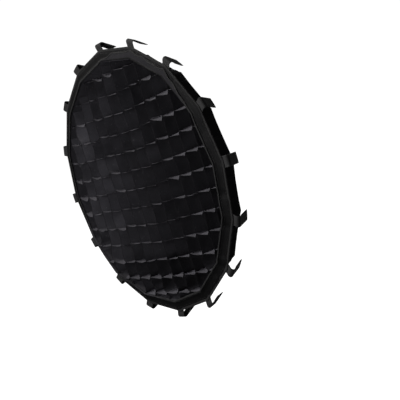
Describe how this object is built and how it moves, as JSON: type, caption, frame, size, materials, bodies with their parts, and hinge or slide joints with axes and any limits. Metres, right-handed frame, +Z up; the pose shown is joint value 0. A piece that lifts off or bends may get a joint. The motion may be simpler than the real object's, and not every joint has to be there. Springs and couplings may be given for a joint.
{
  "type": "softbox honeycomb grid",
  "caption": "Cloth egg-crate light grid for a round multi-sided softbox: crossed strips in a perimeter wall, a flat border, hook tape and fold-over corner flaps.",
  "frame": {"origin": "centre of the mounting plane, where the back of the hook tape meets the softbox's rim", "axes": "+Z up along the upright strips, +X to the right seen from the lit side, -Y the way the light leaves, +Y back into the softbox"},
  "size_m": [0.5504, 0.042, 0.5504],
  "materials": {
    "strip_cloth": "thin woven nylon, slight sheen",
    "wall_cloth": "woven polyester, matt",
    "border_cloth": "woven polyester, matt",
    "binding_tape": "ribbed binding tape, matt",
    "hook_tape": "hook tape, matt",
    "webbing": "woven webbing, slight sheen"
  },
  "bodies": {
    "grid": {"upright_strip_01": "strip_cloth", "upright_strip_02": "strip_cloth", "upright_strip_03": "strip_cloth", "upright_strip_04": "strip_cloth", "upright_strip_05": "strip_cloth", "upright_strip_06": "strip_cloth", "upright_strip_07": "strip_cloth", "upright_strip_08": "strip_cloth", "upright_strip_09": "strip_cloth", "upright_strip_10": "strip_cloth", "upright_strip_11": "strip_cloth", "upright_strip_12": "strip_cloth", "cross_strip_01": "strip_cloth", "cross_strip_02": "strip_cloth", "cross_strip_03": "strip_cloth", "cross_strip_04": "strip_cloth", "cross_strip_05": "strip_cloth", "cross_strip_06": "strip_cloth", "cross_strip_07": "strip_cloth", "cross_strip_08": "strip_cloth", "cross_strip_09": "strip_cloth", "cross_strip_10": "strip_cloth", "cross_strip_11": "strip_cloth", "cross_strip_12": "strip_cloth", "cross_strip_13": "strip_cloth", "perimeter_wall": "wall_cloth", "front_binding": "binding_tape", "rear_binding": "binding_tape", "border": "border_cloth", "hook_tape": "hook_tape", "edge_binding": "binding_tape", "tab_anchors": "webbing"},
    "flap_01": {"corner_flap_01": "webbing"},
    "flap_02": {"corner_flap_02": "webbing"},
    "flap_03": {"corner_flap_03": "webbing"},
    "flap_04": {"corner_flap_04": "webbing"},
    "flap_05": {"corner_flap_05": "webbing"},
    "flap_06": {"corner_flap_06": "webbing"},
    "flap_07": {"corner_flap_07": "webbing"},
    "flap_08": {"corner_flap_08": "webbing"},
    "flap_09": {"corner_flap_09": "webbing"},
    "flap_10": {"corner_flap_10": "webbing"},
    "flap_11": {"corner_flap_11": "webbing"},
    "flap_12": {"corner_flap_12": "webbing"},
    "flap_13": {"corner_flap_13": "webbing"},
    "flap_14": {"corner_flap_14": "webbing"},
    "flap_15": {"corner_flap_15": "webbing"},
    "flap_16": {"corner_flap_16": "webbing"}
  },
  "joints": [
    {"name": "flap_fold_01", "type": "hinge", "parent": "grid", "child": "flap_01", "pos_m": [0.274, -0.00065, 0], "axis": [0, 0, -1], "range_deg": [0, 115]},
    {"name": "flap_fold_02", "type": "hinge", "parent": "grid", "child": "flap_02", "pos_m": [0.25314, -0.00065, 0.10486], "axis": [0.3827, 0, -0.9239], "range_deg": [0, 115]},
    {"name": "flap_fold_03", "type": "hinge", "parent": "grid", "child": "flap_03", "pos_m": [0.19375, -0.00065, 0.19375], "axis": [0.7071, 0, -0.7071], "range_deg": [0, 115]},
    {"name": "flap_fold_04", "type": "hinge", "parent": "grid", "child": "flap_04", "pos_m": [0.10486, -0.00065, 0.25314], "axis": [0.9239, 0, -0.3827], "range_deg": [0, 115]},
    {"name": "flap_fold_05", "type": "hinge", "parent": "grid", "child": "flap_05", "pos_m": [0, -0.00065, 0.274], "axis": [1, 0, 0], "range_deg": [0, 115]},
    {"name": "flap_fold_06", "type": "hinge", "parent": "grid", "child": "flap_06", "pos_m": [-0.10486, -0.00065, 0.25314], "axis": [0.9239, 0, 0.3827], "range_deg": [0, 115]},
    {"name": "flap_fold_07", "type": "hinge", "parent": "grid", "child": "flap_07", "pos_m": [-0.19375, -0.00065, 0.19375], "axis": [0.7071, 0, 0.7071], "range_deg": [0, 115]},
    {"name": "flap_fold_08", "type": "hinge", "parent": "grid", "child": "flap_08", "pos_m": [-0.25314, -0.00065, 0.10486], "axis": [0.3827, 0, 0.9239], "range_deg": [0, 115]},
    {"name": "flap_fold_09", "type": "hinge", "parent": "grid", "child": "flap_09", "pos_m": [-0.274, -0.00065, 0], "axis": [0, 0, 1], "range_deg": [0, 115]},
    {"name": "flap_fold_10", "type": "hinge", "parent": "grid", "child": "flap_10", "pos_m": [-0.25314, -0.00065, -0.10486], "axis": [-0.3827, 0, 0.9239], "range_deg": [0, 115]},
    {"name": "flap_fold_11", "type": "hinge", "parent": "grid", "child": "flap_11", "pos_m": [-0.19375, -0.00065, -0.19375], "axis": [-0.7071, 0, 0.7071], "range_deg": [0, 115]},
    {"name": "flap_fold_12", "type": "hinge", "parent": "grid", "child": "flap_12", "pos_m": [-0.10486, -0.00065, -0.25314], "axis": [-0.9239, 0, 0.3827], "range_deg": [0, 115]},
    {"name": "flap_fold_13", "type": "hinge", "parent": "grid", "child": "flap_13", "pos_m": [0, -0.00065, -0.274], "axis": [-1, 0, 0], "range_deg": [0, 115]},
    {"name": "flap_fold_14", "type": "hinge", "parent": "grid", "child": "flap_14", "pos_m": [0.10486, -0.00065, -0.25314], "axis": [-0.9239, 0, -0.3827], "range_deg": [0, 115]},
    {"name": "flap_fold_15", "type": "hinge", "parent": "grid", "child": "flap_15", "pos_m": [0.19375, -0.00065, -0.19375], "axis": [-0.7071, 0, -0.7071], "range_deg": [0, 115]},
    {"name": "flap_fold_16", "type": "hinge", "parent": "grid", "child": "flap_16", "pos_m": [0.25314, -0.00065, -0.10486], "axis": [-0.3827, 0, -0.9239], "range_deg": [0, 115]}
  ]
}
